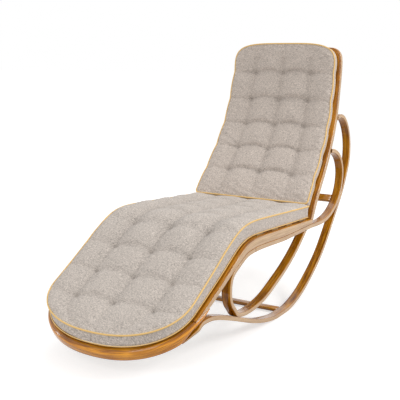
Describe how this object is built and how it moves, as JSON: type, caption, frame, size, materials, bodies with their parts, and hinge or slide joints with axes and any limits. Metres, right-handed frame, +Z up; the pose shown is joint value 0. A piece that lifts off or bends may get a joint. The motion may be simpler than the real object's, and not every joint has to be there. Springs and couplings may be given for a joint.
{
  "type": "rocking chaise lounge",
  "caption": "Rocking chaise of bent wood strips that curl into side loops, with a tufted seat cushion over a raised knee and a tufted back cushion.",
  "frame": {"origin": "middle of the bounding box's footprint, on the floor that the rockers stand on", "axes": "+Z up, +Y from the foot end to the head end, +X across the width, to the right as seen from the foot end"},
  "size_m": [0.566, 1.5106, 1.0045],
  "materials": {
    "bent_wood": "gloss lacquer",
    "seat_fabric": "matt, fine linen weave",
    "back_fabric": "matt, fine linen weave",
    "webbing": "matt weave",
    "brass": "satin"
  },
  "bodies": {
    "frame": {"back_hoop": "bent_wood", "back_webbing_1": "webbing", "back_webbing_2": "webbing", "back_webbing_3": "webbing", "back_webbing_4": "webbing", "back_webbing_5": "webbing", "curl_left": "bent_wood", "curl_right": "bent_wood", "foot_hoop": "bent_wood", "loop_left": "bent_wood", "loop_right": "bent_wood", "lower_cross_bar": "bent_wood", "lower_dowel_left": "bent_wood", "lower_dowel_right": "bent_wood", "rocker_left": "bent_wood", "rocker_right": "bent_wood", "screw_curl_front_left": "brass", "screw_curl_front_right": "brass", "screw_curl_side_left": "brass", "screw_curl_side_right": "brass", "screw_curl_top_left": "brass", "screw_curl_top_right": "brass", "screw_knee_left": "brass", "screw_knee_right": "brass", "screw_loop_foot_left": "brass", "screw_loop_foot_right": "brass", "screw_loop_rear_left": "brass", "screw_loop_rear_right": "brass", "screw_post_foot_left": "brass", "screw_post_foot_right": "brass", "screw_rocker_top_left": "brass", "screw_rocker_top_right": "brass", "screw_scarf_front_left": "brass", "screw_scarf_front_right": "brass", "screw_scarf_rear_left": "brass", "screw_scarf_rear_right": "brass", "screw_tail_left": "brass", "screw_tail_right": "brass", "seat_rail_left": "bent_wood", "seat_rail_right": "bent_wood", "seat_webbing_1": "webbing", "seat_webbing_2": "webbing", "seat_webbing_3": "webbing", "seat_webbing_4": "webbing", "seat_webbing_5": "webbing", "seat_webbing_6": "webbing", "seat_webbing_7": "webbing", "seat_webbing_8": "webbing", "tie_peg_left": "brass", "tie_peg_right": "brass", "upper_cross_bar": "bent_wood", "upper_dowel_left": "bent_wood", "upper_dowel_right": "bent_wood"},
    "seat_cushion": {"seat_cushion": "seat_fabric"},
    "back_cushion": {"back_cushion": "back_fabric"}
  },
  "joints": [
    {"name": "seat_cushion_lift", "type": "slide", "parent": "frame", "child": "seat_cushion", "axis": [0, -0.75, 0.6614], "range_m": [0, 0.25]},
    {"name": "back_cushion_lift", "type": "slide", "parent": "seat_cushion", "child": "back_cushion", "axis": [0, -0.75, 0.6614], "range_m": [0, 0.3]}
  ]
}
